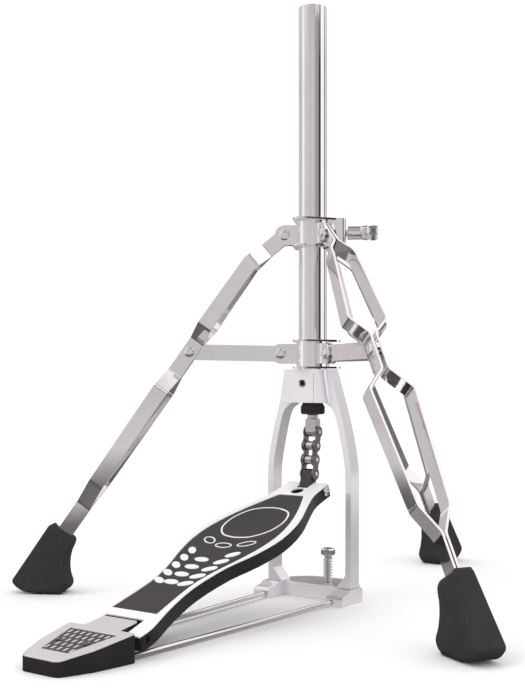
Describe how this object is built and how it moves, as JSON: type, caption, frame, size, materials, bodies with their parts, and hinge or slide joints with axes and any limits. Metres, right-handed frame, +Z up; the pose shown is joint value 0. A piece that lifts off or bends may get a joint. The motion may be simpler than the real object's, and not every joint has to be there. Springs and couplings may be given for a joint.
{
  "type": "hi-hat stand base",
  "caption": "Hi-hat stand base: folding tripod of bowed double strips on a tube, arched pedal frame, chain-pulled rod, tapered footboard with heel plate.",
  "frame": {"origin": "on the floor under the base tube's axis, at the middle of the base casting's front wall", "axes": "+Z up along the base tube; +Y away from the heel plate (the player's foot points along +Y); +X to the player's right"},
  "size_m": [0.4908, 0.6114, 0.5347],
  "materials": {
    "chrome": "polished chrome plate",
    "steel": "zinc plated steel",
    "cast": "satin cast aluminium",
    "silver": "satin silver",
    "black_cast": "satin black",
    "pad": "matt grey grip mat",
    "panel": "dark textured plate",
    "rubber": "moulded black rubber",
    "plastic": "moulded black nylon",
    "chain": "oiled steel"
  },
  "bodies": {
    "stand": {"base_tube": "chrome", "guide_bush": "plastic", "return_spring": "steel", "pedal_frame": "cast", "frame_set_screw": "steel", "base_plate": "cast", "radius_rod_left": "steel", "radius_rod_right": "steel", "heel_plate": "black_cast", "heel_cover": "silver", "heel_panel": "panel", "heel_screw_left": "steel", "heel_screw_right": "steel", "hinge_pin": "steel", "spur_spring": "steel"},
    "tripod_hub": {"lower_collar": "chrome", "lower_rivet_left": "steel", "lower_rivet_right": "steel", "lower_rivet_rear": "steel"},
    "slider": {"upper_collar": "chrome", "upper_rivet_left": "steel", "upper_rivet_right": "steel", "upper_rivet_rear": "steel"},
    "wing": {"wing_bolt": "chrome"},
    "leg_left": {"leg_left_strip_a": "chrome", "leg_left_strip_b": "chrome", "brace_rivet_left_a": "steel", "brace_rivet_left_b": "steel", "foot_left": "rubber"},
    "leg_right": {"leg_right_strip_a": "chrome", "leg_right_strip_b": "chrome", "brace_rivet_right_a": "steel", "brace_rivet_right_b": "steel", "foot_right": "rubber"},
    "leg_rear": {"leg_rear_strip_a": "chrome", "leg_rear_strip_b": "chrome", "brace_rivet_rear_a": "steel", "brace_rivet_rear_b": "steel", "foot_rear": "rubber"},
    "strut_left": {"brace_left": "chrome"},
    "strut_right": {"brace_right": "chrome"},
    "strut_rear": {"brace_rear": "chrome"},
    "board": {"footboard": "black_cast", "footboard_trim": "silver", "footboard_pad": "pad", "toe_pin": "steel"},
    "pull": {"pull_rod": "steel", "stop_bumper": "rubber", "clevis": "steel"},
    "link_upper": {"chain_link_upper": "chain"},
    "link_middle": {"chain_link_middle": "chain"},
    "link_lower": {"chain_link_lower": "chain"},
    "toggle_block": {"toggle": "black_cast"},
    "spur": {"spur_screw": "steel"}
  },
  "joints": [
    {"name": "tripod_swivel", "type": "hinge", "parent": "stand", "child": "tripod_hub", "pos_m": [0, 0, 0.221], "axis": [0, 0, 1], "range_deg": [-40, 15]},
    {"name": "collar_slide", "type": "slide", "parent": "tripod_hub", "child": "slider", "axis": [0, 0, 1], "range_m": [0, 0.105]},
    {"name": "wing_turn", "type": "hinge", "parent": "slider", "child": "wing", "pos_m": [0, 0, 0.33], "axis": [0.866, 0.5, 0], "range_deg": [0, 270]},
    {"name": "leg_left_hinge", "type": "hinge", "parent": "slider", "child": "leg_left", "pos_m": [-0.02182, -0.0126, 0.3283], "axis": [0.5, -0.866, 0], "range_deg": [0, 26.3]},
    {"name": "leg_right_hinge", "type": "hinge", "parent": "slider", "child": "leg_right", "pos_m": [0.02182, -0.0126, 0.3283], "axis": [0.5, 0.866, 0], "range_deg": [0, 26.3]},
    {"name": "leg_rear_hinge", "type": "hinge", "parent": "slider", "child": "leg_rear", "pos_m": [0, 0.0252, 0.3283], "axis": [-1, 0, 0], "range_deg": [0, 26.3]},
    {"name": "strut_left_hinge", "type": "hinge", "parent": "tripod_hub", "child": "strut_left", "pos_m": [-0.02503, -0.01445, 0.221], "axis": [-0.5, 0.866, 0], "range_deg": [0, 69.4]},
    {"name": "strut_right_hinge", "type": "hinge", "parent": "tripod_hub", "child": "strut_right", "pos_m": [0.02503, -0.01445, 0.221], "axis": [-0.5, -0.866, 0], "range_deg": [0, 69.4]},
    {"name": "strut_rear_hinge", "type": "hinge", "parent": "tripod_hub", "child": "strut_rear", "pos_m": [0, 0.0289, 0.221], "axis": [1, 0, 0], "range_deg": [0, 69.4]},
    {"name": "board_hinge", "type": "hinge", "parent": "stand", "child": "board", "pos_m": [0, -0.262, 0.0145], "axis": [-1, 0, 0], "range_deg": [0, 11], "stiffness_Nm_per_rad": 8, "springref_deg": -28.65},
    {"name": "pull_slide", "type": "slide", "parent": "stand", "child": "pull", "axis": [0, 0, -1], "range_m": [0, 0.048], "deforming": ["return_spring"]},
    {"name": "link_upper_hinge", "type": "hinge", "parent": "pull", "child": "link_upper", "pos_m": [0, 0, 0.1502], "axis": [1, 0, 0], "range_deg": [0, 15.9]},
    {"name": "link_middle_hinge", "type": "hinge", "parent": "link_upper", "child": "link_middle", "pos_m": [0, -0.00296, 0.13785], "axis": [-1, 0, 0], "range_deg": [0, 3.4]},
    {"name": "link_lower_hinge", "type": "hinge", "parent": "link_middle", "child": "link_lower", "pos_m": [0, -0.00436, 0.12523], "axis": [-1, 0, 0], "range_deg": [0, 1.9]},
    {"name": "toggle_hinge", "type": "hinge", "parent": "board", "child": "toggle_block", "pos_m": [0, -0.01046, 0.09854], "axis": [1, 0, 0], "range_deg": [0, 25.4]},
    {"name": "spur_travel", "type": "slide", "parent": "stand", "child": "spur", "axis": [0, 0, 1], "range_m": [-0.006, 0.004], "deforming": ["spur_spring"]}
  ],
  "couplings": [
    {"joint": "leg_left_hinge", "follows": "collar_slide", "rad_per_m": 4.3689},
    {"joint": "leg_right_hinge", "follows": "collar_slide", "rad_per_m": 4.3689},
    {"joint": "leg_rear_hinge", "follows": "collar_slide", "rad_per_m": 4.3689},
    {"joint": "strut_left_hinge", "follows": "collar_slide", "rad_per_m": 11.53},
    {"joint": "strut_right_hinge", "follows": "collar_slide", "rad_per_m": 11.53},
    {"joint": "strut_rear_hinge", "follows": "collar_slide", "rad_per_m": 11.53},
    {"joint": "pull_slide", "follows": "board_hinge", "m_per_rad": 0.24974},
    {"joint": "link_upper_hinge", "follows": "board_hinge", "ratio": 1.4416},
    {"joint": "link_middle_hinge", "follows": "board_hinge", "ratio": 0.30577},
    {"joint": "link_lower_hinge", "follows": "board_hinge", "ratio": 0.16773},
    {"joint": "toggle_hinge", "follows": "board_hinge", "ratio": 2.3057}
  ]
}
